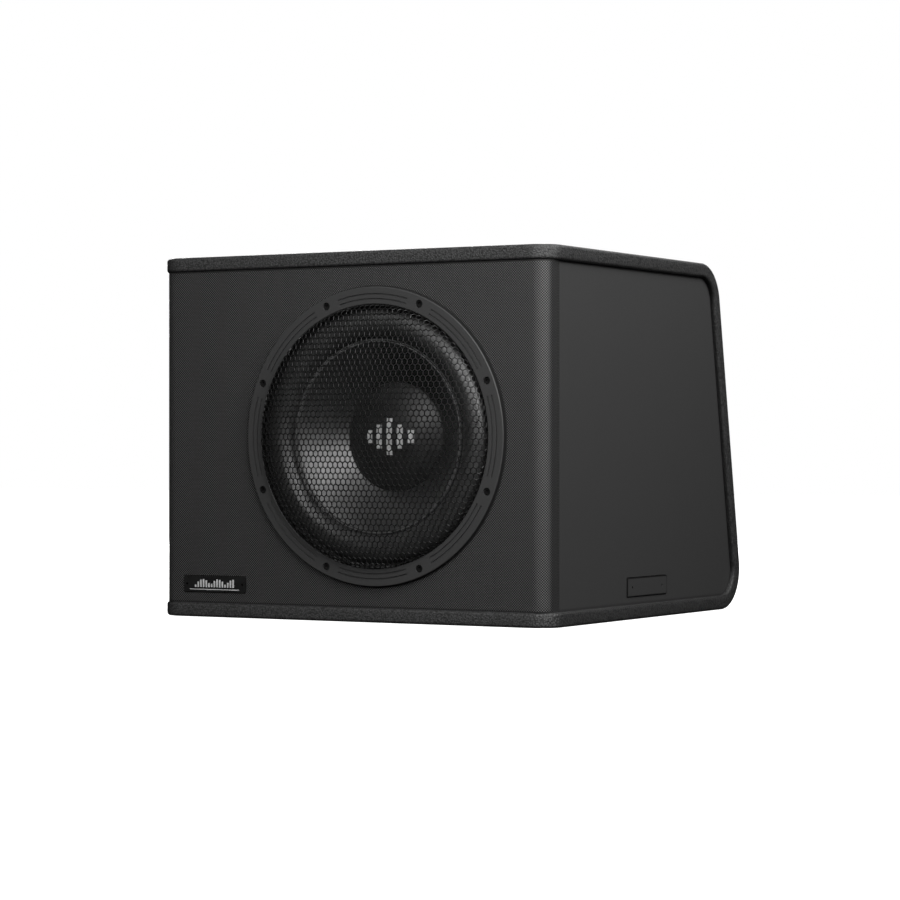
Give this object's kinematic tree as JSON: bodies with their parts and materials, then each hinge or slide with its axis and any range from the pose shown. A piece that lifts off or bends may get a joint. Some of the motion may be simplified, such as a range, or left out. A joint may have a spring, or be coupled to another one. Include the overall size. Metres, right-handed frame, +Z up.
{
  "type": "powered car subwoofer",
  "caption": "Sealed wedge-shaped powered car subwoofer with a round driver behind a domed hex grille and an amplifier panel with controls on its left side.",
  "frame": {"origin": "middle of the cabinet's underside, under the middle of the whole object's box", "axes": "+Z up, the grille faces -Y, +X is to the right for someone who faces the grille"},
  "size_m": [0.5, 0.4968, 0.4],
  "materials": {
    "frame_vinyl": "board wrapped in pebbled black vinyl",
    "inner_board": "raw fibreboard, hidden under the coverings",
    "woven_vinyl": "fine black weave",
    "side_vinyl": "smooth matte black vinyl",
    "ring_plastic": "satin black moulding",
    "grille_paint": "black powder coat",
    "black_screw": "black oxide",
    "zinc_steel": "zinc plated",
    "cast_basket": "cast and painted black",
    "gasket_foam": "closed-cell foam",
    "surround_rubber": "satin moulded rubber",
    "cone_pulp": "pressed fibre cone",
    "cone_ring": "satin beaded ring",
    "coil_former": "thin rolled former",
    "coil_wire": "enamelled copper",
    "spider_cloth": "impregnated corrugated cloth",
    "ferrite": "sintered ferrite",
    "plain_plastic": "moulded dark grey plastic",
    "wire_jacket": "soft black insulation",
    "badge_black": "smooth black plate",
    "badge_silver": "brushed silver mark",
    "amp_black": "black anodised and powder-coated aluminium",
    "amp_steel": "plain zinc-plated steel",
    "circuit_green": "solder-masked board",
    "capacitor_sleeve": "dark component bodies",
    "knob_black": "fluted moulded knob",
    "switch_grey": "light grey slider",
    "led_lens": "clear blue lens",
    "socket_black": "black moulded connector",
    "fuse_orange": "tinted clear plastic",
    "nickel": "bright nickel plate"
  },
  "bodies": {
    "cabinet": {"top_panel": "frame_vinyl", "bottom_panel": "frame_vinyl", "back_panel": "frame_vinyl", "top_rear_corner": "frame_vinyl", "bottom_rear_corner": "frame_vinyl", "front_baffle": "inner_board", "left_side_panel": "inner_board", "right_side_panel": "inner_board", "baffle_wrap": "woven_vinyl", "left_side_vinyl": "side_vinyl", "right_side_vinyl": "side_vinyl", "trim_ring": "ring_plastic", "grille_mesh": "grille_paint", "driver_screws": "black_screw", "amp_screws": "black_screw", "badge_pins": "black_screw", "tee_nuts": "zinc_steel", "top_plate": "zinc_steel", "back_plate_pole": "zinc_steel", "terminal_screws": "zinc_steel", "basket": "cast_basket", "basket_gasket": "gasket_foam", "amp_gasket": "gasket_foam", "amp_toroid": "coil_wire", "tinsel_leads": "coil_wire", "magnet_rings": "ferrite", "driver_terminals": "plain_plastic", "switch_bodies": "plain_plastic", "fuse_holder": "plain_plastic", "high_level_socket": "plain_plastic", "speaker_wires": "wire_jacket", "front_badge_plate": "badge_black", "side_blank_plate": "badge_black", "front_badge_mark": "badge_silver", "amp_tray": "amp_black", "amp_heatsink": "amp_black", "amp_rear_cover": "amp_steel", "potentiometers": "amp_steel", "amp_circuit_board": "circuit_green", "amp_capacitors": "capacitor_sleeve", "amp_transistors": "capacitor_sleeve", "status_led": "led_lens", "terminal_block": "socket_black", "rca_housing": "socket_black", "remote_socket": "socket_black", "blade_fuses": "fuse_orange", "rca_sleeves": "nickel"},
    "moving_cone": {"cone": "cone_pulp", "cone_trim_ring": "cone_ring", "dust_cap": "cone_pulp", "voice_coil_former": "coil_former", "voice_coil": "coil_wire", "surround": "surround_rubber", "spider": "spider_cloth"},
    "level_control": {"level_knob": "knob_black"},
    "lowpass_control": {"lowpass_knob": "knob_black"},
    "bass_control": {"bass_knob": "knob_black"},
    "phase_slider": {"phase_switch": "switch_grey"},
    "turn_on_slider": {"turn_on_switch": "switch_grey"}
  },
  "joints": [
    {"name": "cone_travel", "type": "slide", "parent": "cabinet", "child": "moving_cone", "axis": [0, -1, 0], "range_m": [-0.012, 0.012], "stiffness_N_per_m": 6500, "deforming": ["surround", "spider", "tinsel_leads"]},
    {"name": "level_turn", "type": "hinge", "parent": "cabinet", "child": "level_control", "pos_m": [-0.235, -0.11039, 0.138], "axis": [-1, 0, 0], "range_deg": [-140, 140]},
    {"name": "lowpass_turn", "type": "hinge", "parent": "cabinet", "child": "lowpass_control", "pos_m": [-0.235, -0.07539, 0.138], "axis": [-1, 0, 0], "range_deg": [-140, 140]},
    {"name": "bass_turn", "type": "hinge", "parent": "cabinet", "child": "bass_control", "pos_m": [-0.235, -0.04039, 0.138], "axis": [-1, 0, 0], "range_deg": [-140, 140]},
    {"name": "phase_slide", "type": "slide", "parent": "cabinet", "child": "phase_slider", "axis": [0, -1, 0], "range_m": [0, 0.004]},
    {"name": "turn_on_slide", "type": "slide", "parent": "cabinet", "child": "turn_on_slider", "axis": [0, -1, 0], "range_m": [0, 0.004]}
  ]
}
